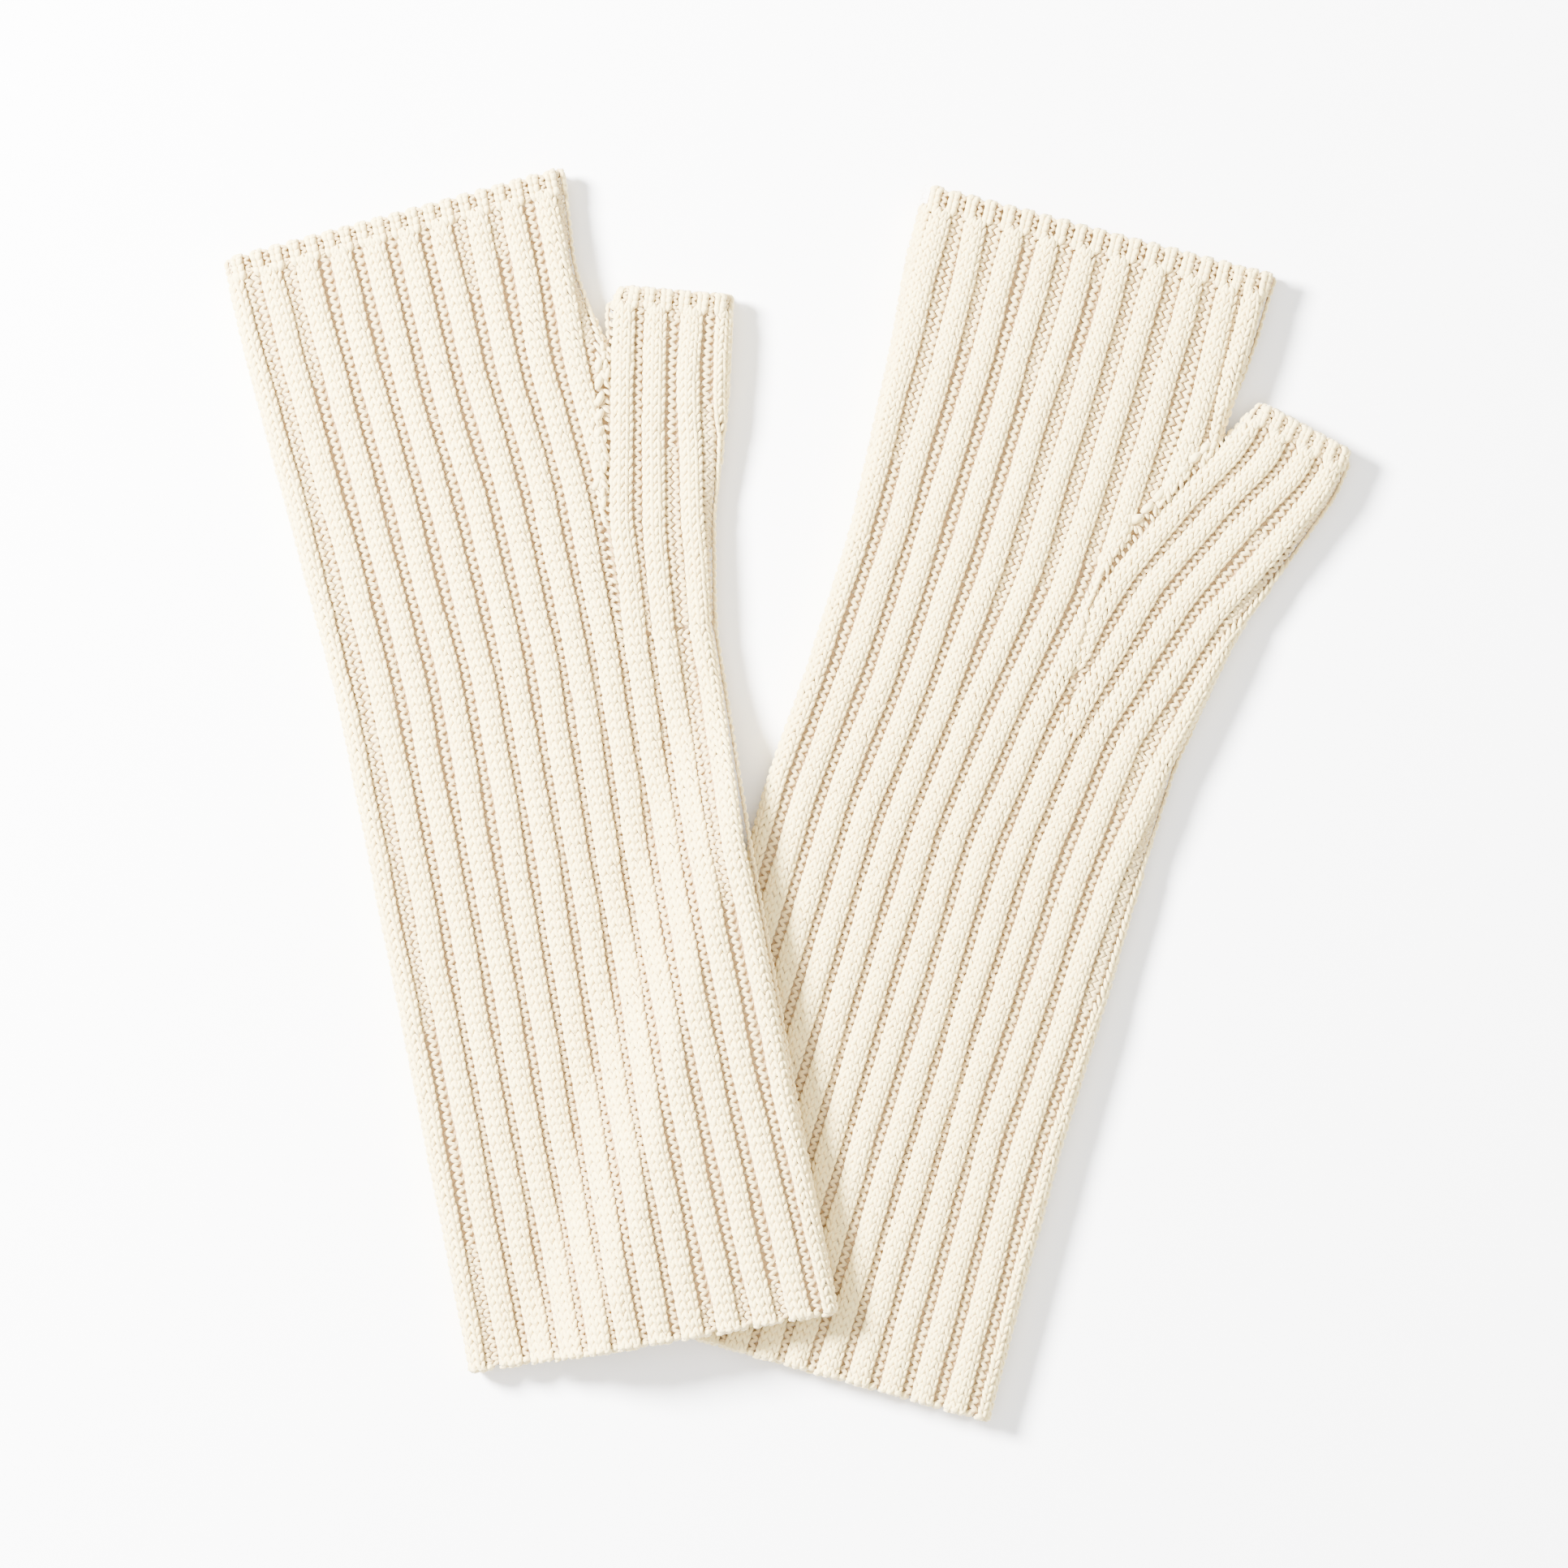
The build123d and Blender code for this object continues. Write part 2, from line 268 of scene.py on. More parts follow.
# %% The two gloves' stations
GLOVES = {
    "upper": {
        "hand": [(-83.1, -149.7, 98.0, 9.9), (-95.4, -88.8, 98.9, 10.0), (-107.0, -30.0, 100.0, 10.5),
                 (-117.5, 24.6, 101.7, 11.0), (-129.0, 66.0, 101.0, 12.5), (-136.3, 93.0, 92.8, 14.0),
                 (-141.3, 113.0, 90.2, 14.6), (-146.8, 137.6, 93.0, 15.2)],
        "grooves": [(4.7, 15.0, 23.2, 31.0, 38.6, 46.2, 54.5, 62.8, 72.2, 81.6, 91.0, 100.4),
                    (6.0, 15.6, 23.5, 31.6, 39.6, 47.4, 55.5, 63.3, 71.7, 80.3, 89.0, 98.5),
                    (5.8, 16.0, 24.3, 32.6, 41.2, 49.4, 57.4, 65.1, 72.6, 80.5, 88.5, 97.8),
                    (4.8, 15.7, 24.6, 33.6, 42.3, 50.5, 58.9, 67.1, 75.0, 82.8, 90.2, 100.1),
                    (6.0, 16.5, 25.6, 34.4, 43.3, 52.4, 61.3, 69.7, 78.1, 86.5, 95.0, 104.0),
                    (6.2, 16.3, 25.4, 34.3, 43.0, 51.6, 60.4, 69.2, 77.8, 86.6, 95.6, 104.6),
                    (5.1, 15.6, 25.2, 34.2, 43.2, 52.0, 61.0, 70.3, 79.5, 88.4, 97.4, 106.4),
                    (3.9, 15.0, 24.8, 33.9, 42.6, 51.8, 60.8, 70.3, 79.8, 88.9, 97.8, 106.8)],
        "thumb": [(-18.0, 70.8, 37.5, 4.0), (-15.0, 100.2, 40.0, 0.0), (-14.2, 110.0, 39.0, -2.0),
                  (-13.8, 114.9, 32.5, -3.0), (-13.5, 124.2, 35.8, -4.3), (-13.0, 128.4, 31.0, -5.0)],
        "thumb_grooves": [(2.2, 11.5, 19.5, 27.4), (1.6, 11.5, 18.9, 26.7), (3.5, 13.7, 21.9, 30.2),
                          (7.6, 16.4, 24.8, 32.3), (8.3, 17.1, 25.4, 33.0), (8.3, 17.4, 25.8, 33.0),
                          (8.0, 17.4, 25.9, 33.0), (7.9, 17.4, 26.0, 33.0)],
        "crotch": (-46.4, 114.6), "pivot": (-30.6, 105.0), "lean": 3.0,
        "foot": 80.0, "bump": (2.2, 3.9, 1.9),
    },
    "lower": {
        "hand": [(-41.1, -135.9, 97.5, -15.7), (-25.3, -67.8, 99.9, -15.9), (-6.4, 3.6, 102.1, -16.1),
                 (5.4, 37.2, 101.0, -17.5), (15.6, 70.8, 101.0, -17.0), (25.7, 117.2, 90.7, -17.0),
                 (29.3, 138.0, 95.4, -15.5), (34.4, 157.8, 96.4, -14.6)],
        "grooves": [(1.8, 9.3, 16.8, 24.3, 31.8, 39.8, 48.0, 56.3, 64.6, 73.3, 82.0, 90.7, 100.1),
                    (4.6, 12.6, 20.6, 28.6, 36.6, 44.4, 52.4, 60.7, 68.4, 75.8, 84.0, 92.4, 101.8),
                    (5.2, 14.6, 23.1, 31.2, 39.0, 47.0, 54.9, 62.9, 71.0, 79.2, 88.2, 96.6, 106.0),
                    (5.8, 15.4, 24.0, 32.5, 40.6, 48.5, 56.8, 65.0, 73.1, 80.8, 89.1, 99.2, 108.6),
                    (6.5, 15.8, 24.4, 33.5, 42.5, 52.4, 61.8, 71.0, 79.0, 87.0, 96.0, 105.0, 114.0),
                    (9.0, 18.8, 28.0, 37.0, 46.3, 55.7, 65.5, 75.5, 86.1, 93.6, 102.6, 111.6, 120.6),
                    (10.1, 20.1, 29.8, 39.0, 49.0, 58.1, 67.7, 77.6, 87.3, 94.2, 103.2, 112.2, 121.2),
                    (10.1, 19.6, 29.6, 39.0, 48.6, 58.3, 68.0, 77.5, 86.9, 93.6, 102.6, 111.6, 120.6)],
        "thumb": [(117.5, 41.4, 44.0, -27.0), (133.0, 62.4, 44.0, -30.0), (140.0, 72.1, 41.0, -28.6),
                  (142.7, 75.8, 33.8, -28.0), (146.2, 83.4, 32.4, -28.5),
                  (147.4, 87.4, 29.2, -28.8)],
        "thumb_grooves": [(5.5, 13.9, 22.9, 31.1, 39.2, 47.2), (1.8, 11.9, 20.2, 27.9, 36.0, 44.2),
                          (-3.0, 5.7, 14.6, 22.9, 30.9, 40.1), (-5.5, 3.1, 12.5, 20.9, 28.8, 36.4),
                          (-6.5, 2.4, 11.0, 19.0, 27.0, 35.0), (-6.5, 2.2, 10.0, 18.5, 26.6, 34.0),
                          (-6.5, 2.1, 9.7, 18.1, 26.3, 34.0), (-6.5, 2.0, 9.3, 17.6, 26.0, 34.0)],
        "crotch": (112.6, 91.6), "pivot": (122.0, 75.9), "lean": 31.0,
        "foot": 60.0, "bump": (2.5, 4.1, 2.1),
    },
}
MIDDLE = 5.0                    # half the thickness of a flattened glove
TURN = 3.6                      # radius of the fabric's middle where it turns at an edge
QUARTER = math.pi * TURN / 2
ARM_TOP = 3                     # the station where hand and thumb begin to share the fabric
BELOW_THUMB = 34.0              # width of the thumb's fabric below its first station
FINGER_BAND, THUMB_BAND = 5.5, 5.0
RISE, RISE_LENGTH, RISE_MARGIN = 10.5, 24.0, 3.0   # the upper glove's climb over the lower one
FADE_TOP_Y, FADE_LENGTH = 36.0, 34.0               # where the climb ends towards the fingers


def smooth(t):
    t = np.clip(t, 0, 1)
    return t * t * (3 - 2 * t)


def climb(x, y):
    """How far the upper glove's underside is above the table at (x, y)."""
    x0, y0 = GLOVES["lower"]["hand"][0][:2]
    x1, y1 = GLOVES["lower"]["hand"][2][:2]
    tilt = math.atan2(x1 - x0, y1 - y0)
    inside = (x - x0 - (x1 - x0) * (y - y0) / (y1 - y0)) * math.cos(tilt)
    rise = smooth((inside + RISE_MARGIN + RISE_LENGTH) / RISE_LENGTH)
    return RISE * rise * smooth((FADE_TOP_Y - y) / FADE_LENGTH)


for name, glove in GLOVES.items():
    widths = [station[2] for station in glove["hand"]]
    print(f"{name} glove: {widths[0]} mm wide at the cuff, {widths[-1]} mm at the fingers")

# %% [markdown]
# A fabric is a map: give it a distance round the flattened tube and a distance along it, and it
# answers with a point. Two maps make a glove. The hand map counts from the little finger edge
# and runs from the cuff to the fingers; the thumb map counts from the thumb edge. They agree
# over the arm, and above it they fan apart, as the real ribs do.

# %% A fabric map
WALE = 1.9                      # one column of knitting
RIB_HALF = 1.5 * WALE           # a wide rib is three columns
LIP = 0.25                      # a groove's dark line lies this far beyond the rib above it
EDGE_GUTTER = 3.9               # the wide groove beside the thumb's outermost rib
SMOOTHING = 9.0                 # corners between stations are eased over this length
SAMPLES = 600                   # places along a fabric at which its stations are tabled
LINE_SAMPLES, SEARCH_STEPS = 120, 500
HAND_SUNK, THUMB_SUNK, BAND_SUNK = 0.3, 0.55, 0.1  # how far the skins lie under what covers them


class Fabric:
    """One flattened tube of knitting. side is +1 if distances count from the left edge."""

    def __init__(self, rows, grooves, side, climbs):
        rows = np.array(rows, float)
        self.side = side
        self.climbs = climbs
        turn = np.radians(rows[:, 3])
        middle = rows[:, :2] + 0.5 * rows[:, 2:3] * np.stack([np.cos(turn), np.sin(turn)], 1)
        self.knots = np.concatenate([[0], np.cumsum(np.hypot(*np.diff(middle, axis=0).T))])
        self.length = self.knots[-1]
        self.s = np.linspace(0, self.length, SAMPLES)
        table = np.stack([np.interp(self.s, self.knots, c) for c in (*rows.T, *np.array(grooves).T)], 1)
        reach = int(SMOOTHING / self.length * SAMPLES)
        before = 2 * table[0] - table[reach:0:-1]
        after = 2 * table[-1] - table[-2:-reach - 2:-1]
        kernel = np.hanning(2 * reach + 3)[1:-1]
        kernel /= kernel.sum()
        padded = np.concatenate([before, table, after])
        self.table = np.stack([np.convolve(c, kernel, "valid") for c in padded.T], 1)
        self.ribs = len(grooves[0])

    def at(self, s):
        """The left end's x and y, the width and the turn, at a distance along."""
        return [np.interp(s, self.s, c) for c in self.table.T[:4]]

    def half_round(self, s):
        """Distance round the fabric from one edge to the other, over one face."""
        return self.at(s)[2] - 2 * MIDDLE + 2 * QUARTER

    def round(self, plan, s):
        """Distance round the fabric, from a distance across it seen from above."""
        width, half = self.at(s)[2], self.half_round(s)

        def from_edge(u):
            on_turn = TURN * np.arccos(np.clip((MIDDLE - u) / MIDDLE, -1, 1))
            return np.where(u < 0, u, np.where(u < MIDDLE, on_turn, QUARTER + u - MIDDLE))

        return np.where(plan > width / 2, half - from_edge(width - plan), from_edge(plan))

    def rib(self, k, s):
        """Distance round to the middle of rib k."""
        def groove(i):
            return np.interp(s, self.s, self.table[:, 4 + i])

        if self.side > 0:
            plan = groove(k) - LIP - RIB_HALF
        elif k == 0:
            plan = groove(0) - EDGE_GUTTER - RIB_HALF
        else:
            plan = groove(k - 1) + LIP + RIB_HALF
        return self.round(plan, s)

    def point(self, a, s, face, lift):
        """The point a round from the edge and s along; lift is its height off the middle."""
        x, y, width, turn = self.at(s)
        flat = width - 2 * MIDDLE
        radius = TURN + lift
        first = np.clip(a, 0, QUARTER) / TURN
        last = np.clip(a - QUARTER - flat, 0, QUARTER) / TURN
        run = np.clip(a - QUARTER, 0, flat)
        u = np.where(last > 0, MIDDLE + flat + radius * np.sin(last),
                     np.where(a < QUARTER, MIDDLE - radius * np.cos(first), MIDDLE + run))
        h = np.where(last > 0, radius * np.cos(last), np.where(a < QUARTER, radius * np.sin(first), radius))
        if self.side < 0:
            u = width - u
        turn = np.radians(turn)
        px, py = x + u * np.cos(turn), y + u * np.sin(turn)
        pz = MIDDLE + face * h
        if self.climbs:
            pz = pz + climb(px, py)
        return np.stack([px, py, pz], -1)

    def frame_at(self, a, s, face, lift, slope=0.0):
        """Point, direction across, direction along and outward normal."""
        e = 0.25
        inside = np.clip(s, e, self.length - e)
        a = np.clip(a, e, self.half_round(inside) - e)
        up, down = lift + slope * e, lift - slope * e
        across = self.point(a + e, inside, face, up) - self.point(a - e, inside, face, down)
        along = self.point(a, inside + e, face, lift) - self.point(a, inside - e, face, lift)
        across /= np.linalg.norm(across, axis=-1, keepdims=True)
        along /= np.linalg.norm(along, axis=-1, keepdims=True)
        here = self.point(a, inside, face, lift) + along * np.asarray(s - inside)[..., None]
        normal = np.cross(across, along) * (face * self.side)
        normal /= np.linalg.norm(normal, axis=-1, keepdims=True)
        return here, across, along, normal


def make_fabrics(name):
    """The hand's map and the thumb's; the thumb's begins with the two top stations of the arm."""
    glove = GLOVES[name]
    rows = []
    for x, y, width, tilt in glove["hand"][ARM_TOP - 1:ARM_TOP + 1]:
        t, over = math.radians(tilt), width - BELOW_THUMB
        rows.append((x + over * math.cos(t), y + over * math.sin(t), BELOW_THUMB, tilt))
    for x, y, width, tilt in glove["thumb"]:
        t = math.radians(tilt)
        rows.append((x - width * math.cos(t), y - width * math.sin(t), width, tilt))
    climbs = name == "upper"
    return (Fabric(glove["hand"], glove["grooves"], 1, climbs),
            Fabric(rows, glove["thumb_grooves"], -1, climbs))


def row_facing(fabric, target, low):
    """Distance along a fabric at which its row passes through a point of the table."""
    s = np.linspace(low, fabric.length, SEARCH_STEPS)
    x, y, _, t = fabric.at(s)
    t = np.radians(t)
    gap = -(target[0] - x) * np.sin(t) + (target[1] - y) * np.cos(t)
    return float(s[np.argmin(np.abs(gap))])


class Glove:
    """The two maps of a glove, where they part, and the line they part along."""

    def __init__(self, name):
        self.hand, self.thumb = make_fabrics(name)
        self.arm = self.hand.knots[ARM_TOP]
        self.root = self.thumb.knots[1]
        crotch = GLOVES[name]["crotch"]
        self.hand_crotch = row_facing(self.hand, crotch, self.arm)
        self.thumb_crotch = row_facing(self.thumb, crotch, self.root)
        s = np.linspace(self.root, self.thumb_crotch, LINE_SAMPLES)
        line = self.thumb.round(np.interp(s, self.thumb.s, self.thumb.table[:, -1]), s)
        self.line = self.thumb.point(line, s, 1, 0.0)
        self.line_s, self.line_a = s, line

    def past_line(self, place):
        """How far a point is on the thumb's side of the parting line."""
        x = np.interp(place[:, 1], self.line[:, 1], self.line[:, 0])
        run = np.gradient(self.line[:, 0], self.line[:, 1])
        return (place[:, 0] - x) / np.hypot(1, np.interp(place[:, 1], self.line[:, 1], run))

    def under_thumb(self, a, s, place):
        """How far the hand's skin is sunk where the thumb's lies over it."""
        shared = (self.arm < s < self.hand_crotch) & (self.past_line(place) > -0.5)
        return np.where(shared, HAND_SUNK, 0.0)

    def under_hand(self, a, s, place):
        """How far the thumb's skin is sunk where the hand's lies over it."""
        shared = (s < self.thumb_crotch) & (a > np.interp(s, self.line_s, self.line_a) - 0.5)
        return np.where(shared, THUMB_SUNK, 0.0)


MAPS = {name: Glove(name) for name in GLOVES}
for name, glove in MAPS.items():
    print(f"{name} glove is {glove.hand.length:.0f} mm long, with its arm up to {glove.arm:.0f} mm "
          f"and its crotch at {glove.hand_crotch:.0f} mm")

# %% [markdown]
# One wide rib is three columns of knit stitches side by side, and the groove beside it is
# purl stitches pulled in behind. A stitch table holds one row per piece of yarn: where
# it lies, which way it runs, which way is out, its size, how much painted shade darkens it,
# and a random tint. These are only numbers; no yarn exists yet.

# %% Stitch tables
ROW = 2.27                      # one row of knitting
RIB_HEIGHT = 1.35               # how far a rib stands out of its groove
RIB_SHOULDER = 3.35             # half width at which a rib has dropped to the groove
GROOVE_SHARPNESS = 2.5
LEG = (1.32, 3.5, 1.3)          # one leg of a stitch: width, length, thickness
LEG_OFFSET = 0.47               # a leg's distance from the middle of its column
LEG_LEAN = 19.0                 # degrees
FIRST_ROW = 0.9
BAR_WIDTH, BAR_HEIGHT = 1.25, 1.15
ONE_BAR = 3.6                   # a groove wider than this holds two purl columns
GATHER, GATHER_LENGTH = 0.66, 4.0   # a rib narrows to this share of its width under a band
UNEVEN_SIZE, UNEVEN_PLACE, UNEVEN_WAY = 0.05, 0.045, 0.04


def rib_profile(offset):
    """Height over the groove, offset being the distance from the rib's middle."""
    return RIB_HEIGHT * (1 - np.minimum(np.abs(offset / RIB_SHOULDER), 1) ** GROOVE_SHARPNESS)


def rib_slope(offset):
    e = 0.05
    return (rib_profile(offset + e) - rib_profile(offset - e)) / (2 * e)


def wander(rib, s):
    """Ribs are never ruled lines: each drifts a little as it runs."""
    return 0.12 * np.sin(s / 11.0 + rib * 1.7) + 0.09 * np.sin(s / 5.1 + rib * 2.9)


class Stitches:
    """Columns of numbers, one entry per piece of yarn."""

    def __init__(self):
        self.parts = []

    # the fifth column is how much painted shade darkens a piece that lies down in a groove, a fold or a gap
    def add(self, place, along, outward, size, deep, loose=1.0):
        count = len(place)
        sizes = np.broadcast_to(np.array(size, float), (count, 3)) * rng.normal(1, UNEVEN_SIZE, (count, 1))
        nudge = rng.normal(0, UNEVEN_PLACE * loose, (count, 3))
        way = along + rng.normal(0, UNEVEN_WAY * loose, (count, 3))
        shade = np.broadcast_to(deep, count).astype(float)
        self.parts.append((place + nudge, way, outward, sizes, shade, rng.random(count)))

    def columns(self):
        return [np.concatenate(c) for c in zip(*self.parts)]


def lean(across, along, degrees):
    """A direction in the fabric, turned from along it towards across it."""
    angle = np.broadcast_to(np.radians(degrees), len(across))[:, None]
    return along * np.cos(angle) + across * np.sin(angle)


def add_ribs(stitches, fabric, ribs, rows, face, keep, top):
    """Three columns of V stitches for each rib, gathered towards the band at the top."""
    to_end = np.clip((top - rows) / GATHER_LENGTH, 0, 1)
    gather = GATHER + (1 - GATHER) * np.sqrt(to_end)
    sink = -0.5 * (1 - to_end) ** 2
    for rib in ribs:
        middle = fabric.rib(rib, rows) + wander(rib, rows)
        for wale in (-1, 0, 1):
            for leg in (-1, 1):
                off = (wale * WALE + leg * LEG_OFFSET) * gather
                a = middle + off
                lift = rib_profile(off) - RIB_HEIGHT / 2 + 0.2 + sink
                place, across, along, normal = fabric.frame_at(a, rows, face, lift, rib_slope(off))
                ok = keep(place, a, rows) & (a > 0.3) & (a < fabric.half_round(rows) - 0.1)
                stitches.add(place[ok], lean(across, along, leg * LEG_LEAN)[ok], normal[ok], LEG, 0.0)


def add_purl(stitches, fabric, left, right, rows, face, keep):
    """Purl bars between two distances round: one zigzag column, or two in a wide groove."""
    width = right - left
    for columns in (1, 2):
        use = (width > 0.8) & ((width > ONE_BAR) == (columns == 2))
        for column in range(columns):
            for half, slant in ((0.0, 60.0), (0.5, 120.0)):
                here = rows + half * ROW
                a = left + width * (column + 0.5) / columns
                place, across, along, normal = fabric.frame_at(a, here, face, -RIB_HEIGHT / 2)
                ok = use & keep(place, a, here) & (a > 0.3) & (a < fabric.half_round(here) - 0.3)
                length = np.clip(width[ok] / columns * 1.3, 1.9, 3.5)
                thick, high = np.full_like(length, BAR_WIDTH), np.full_like(length, BAR_HEIGHT)
                size = np.stack([thick, length, high], 1)
                # painted shade in the groove: the narrower the groove, the darker its purl bars
                deep = np.clip(0.85 - 0.1 * width[ok], 0.42, 0.65)
                stitches.add(place[ok], lean(across, along, slant)[ok], normal[ok], size, deep)


def add_fold(stitches, fabric, rows, face):
    """Knit columns round the folded edge, between the first ribs of the two faces."""
    first = fabric.rib(0, rows) - RIB_HALF
    for column in range(4):
        for leg in (-1, 1):
            a = first - 1.1 - WALE * column + leg * LEG_OFFSET
            place, across, along, normal = fabric.frame_at(a, rows, face, -0.15)
            ok = a > 0.0
            # slight painted shade on the yarn round the folded edge
            stitches.add(place[ok], lean(across, along, leg * LEG_LEAN)[ok], normal[ok], LEG, 0.1)


def between_ribs(fabric, k, rows):
    """The groove between ribs k and k + 1, as two distances round."""
    return fabric.rib(k, rows) + RIB_HALF, fabric.rib(k + 1, rows) - RIB_HALF


for name, glove in MAPS.items():
    print(f"{name} glove: {glove.hand.ribs} hand ribs, {glove.thumb.ribs} thumb ribs, "
          f"{glove.hand.length / ROW:.0f} rows")

# %% [markdown]
# Above the arm the hand and the thumb share the fabric along a slanting line. Hand ribs stop on
# one side of it, each with a plump fashioned stitch, and thumb ribs run along the other. Where
# the thumb rounds into the crotch the fabric turns over and shows its purl side.

# %% Hand, arm and thumb stitches
BUMP_SPACING = 4.4
TURNED_BAR = (1.15, 2.4, 1.1)   # a purl bar where the thumb's fabric turns over
FOLD_LEG = (1.5, 3.2, 1.4)
SEAM_LOOP = (1.3, 3.1, 1.2)


def hand_stitches(glove, face, low, high):
    """Wide-rib stitches of the hand map between two distances along it."""
    hand = glove.hand
    stitches = Stitches()
    top = hand.length - FINGER_BAND
    rows = np.arange(FIRST_ROW, top, ROW)
    rows = rows[(rows >= low) & (rows < high)]

    def keep(place, a, s):
        shared = (s > glove.arm) & (s < glove.hand_crotch)
        return np.where(shared, glove.past_line(place) < 0.8, True)

    add_ribs(stitches, hand, range(hand.ribs), rows, face, keep, top)
    for k in range(hand.ribs - 1):
        add_purl(stitches, hand, *between_ribs(hand, k, rows), rows, face, keep)
    add_fold(stitches, hand, rows, face)
    return stitches


def thumb_stitches(glove, face):
    """The thumb's ribs, the turned-over purl beside them and the fold above the crotch."""
    thumb = glove.thumb
    stitches = Stitches()
    top = thumb.length - THUMB_BAND
    rows = np.arange(FIRST_ROW, glove.hand.length, ROW)
    rows = rows[rows >= glove.arm] - glove.arm + glove.root
    rows = rows[rows < top]

    def keep(place, a, s):
        limit = thumb.round(np.interp(s, thumb.s, thumb.table[:, -1]), s)
        return (s > glove.thumb_crotch) | (a < limit + 0.2)

    add_ribs(stitches, thumb, range(thumb.ribs), rows, face, keep, top)
    for k in range(thumb.ribs - 1):
        add_purl(stitches, thumb, *between_ribs(thumb, k, rows), rows, face, keep)
    last = thumb.rib(thumb.ribs - 1, rows) + RIB_HALF
    for column in range(6):
        a = last + 0.9 + 1.6 * column
        place, across, along, normal = thumb.frame_at(a, rows, face, -0.1)
        ok = keep(place, a, rows) & (a < thumb.half_round(rows) - 1.1)
        # slight painted shade on the turned-over purl
        stitches.add(place[ok], lean(across, along, 55.0)[ok], normal[ok], TURNED_BAR, 0.22)
    fold = rows[rows > glove.thumb_crotch - 1.0]
    place, across, along, normal = thumb.frame_at(thumb.half_round(fold) - 0.35, fold, face, 0.3)
    # slight painted shade on the fold's yarn
    stitches.add(place, lean(across, along, 10.0), normal, FOLD_LEG, 0.1)
    return stitches


def fashioning_stitches(name, glove, face):
    """The plump stitches where hand ribs stop, spaced along the parting line."""
    stitches = Stitches()
    run = np.concatenate([[0], np.cumsum(np.hypot(*np.diff(glove.line[:, :2], axis=0).T))])
    first = np.interp(GLOVES[name]["foot"], glove.line[:, 1], run)
    spots = np.arange(first, run[-1] - 1.0, BUMP_SPACING)
    s = np.interp(spots, run, glove.line_s)
    a = np.interp(spots, run, glove.line_a) + 1.5
    place, across, along, normal = glove.thumb.frame_at(a, s, face, 0.75)
    stitches.add(place, lean(across, along, -16.0), normal, GLOVES[name]["bump"], 0.0, loose=2.5)
    return stitches


def seam_stitches(fabric, low, high):
    """A row of linked loops down the folded edge where the fabric was joined."""
    stitches = Stitches()
    s = np.arange(low, high, ROW)
    a = np.full_like(s, 0.35) if fabric.side < 0 else fabric.half_round(s) - 0.35
    for face in (1, -1):
        place, across, along, normal = fabric.frame_at(a, s, face, 0.35)
        # slight painted shade on the seam loops
        stitches.add(place, lean(across, along, 12.0 * face), normal, SEAM_LOOP, 0.05)
    return stitches


for name, glove in MAPS.items():
    print(f"{name} glove: fashioned line of {glove.line_s[-1] - glove.line_s[0]:.0f} mm")

# %% [markdown]
# At the openings the wide rib changes to one-and-one rib: one knit column, one purl column, the
# firm narrow edge that keeps a glove from sliding. Its columns are half as far apart as the ribs,
# so each wide rib ends in a gathered top between two of them. A bound-off chain closes the edge.

# %% Bands and edges
BAND_LEG = (1.85, 2.9, 1.5)
BAND_BAR = (0.95, 2.1, 0.9)
BAND_ROW = 1.85
BEAD = (1.5, 2.3, 1.4)
CUFF_LOOPS = ((0.2, 0.15, 90.0, (1.7, 2.35, 1.6)), (-0.35, -0.8, 78.0, (1.5, 2.4, 1.4)))
LAST_PITCH = 9.0                # from the last rib to the one that would follow it


def band_stitches(fabric, depth, face):
    """One-and-one rib over the last stretch of a fabric, and the bound-off beads at its end."""
    stitches = Stitches()
    start = fabric.length - depth
    rows = np.arange(start + 0.3, fabric.length - 0.8, BAND_ROW)
    half = fabric.half_round(rows)
    middles = [fabric.rib(k, rows) for k in range(fabric.ribs)]
    lines = []
    for k in range(fabric.ribs):
        after = middles[k + 1] if k + 1 < fabric.ribs else middles[k] + LAST_PITCH
        lines += [middles[k], (middles[k] + after) / 2]
    lines = [lines[0] - (lines[1] - lines[0])] + lines
    for left, right in zip(lines, lines[1:]):
        spread = np.clip((right - left - 1.9) / 4, 0.3, 0.66)
        for leg in (-1, 1):
            a = (left + right) / 2 + leg * spread
            place, across, along, normal = fabric.frame_at(a, rows, face, 0.25)
            ok = (a > 0.2) & (a < half - 0.2)
            stitches.add(place[ok], lean(across, along, leg * 15.0)[ok], normal[ok], BAND_LEG, 0.0)
        for shift, slant in ((0.0, 65.0), (0.5, 115.0)):
            here = rows + shift * BAND_ROW
            place, across, along, normal = fabric.frame_at(right, here, face, -0.35)
            ok = (right > 0.3) & (right < half - 0.3)
            # painted shade: the purl bars sink between the knit columns, and half their colour is shade
            stitches.add(place[ok], lean(across, along, slant)[ok], normal[ok], BAND_BAR, 0.5)
    tops = np.array([(left[-1] + right[-1]) / 2 for left, right in zip(lines, lines[1:])])
    edge = np.concatenate([tops - 0.62, tops + 0.62])
    edge = edge[(edge > 0.4) & (edge < half[-1] - 0.4)]
    for shift, height in ((0.0, 0.1), (0.3, -0.75)):
        at = np.full_like(edge, fabric.length - 0.5 + shift)
        place, across, along, normal = fabric.frame_at(edge, at, face, height)
        # slight painted shade on the bound-off beads
        stitches.add(place, lean(across, along, 64.0), normal, BEAD, 0.06, loose=2.0)
    return stitches


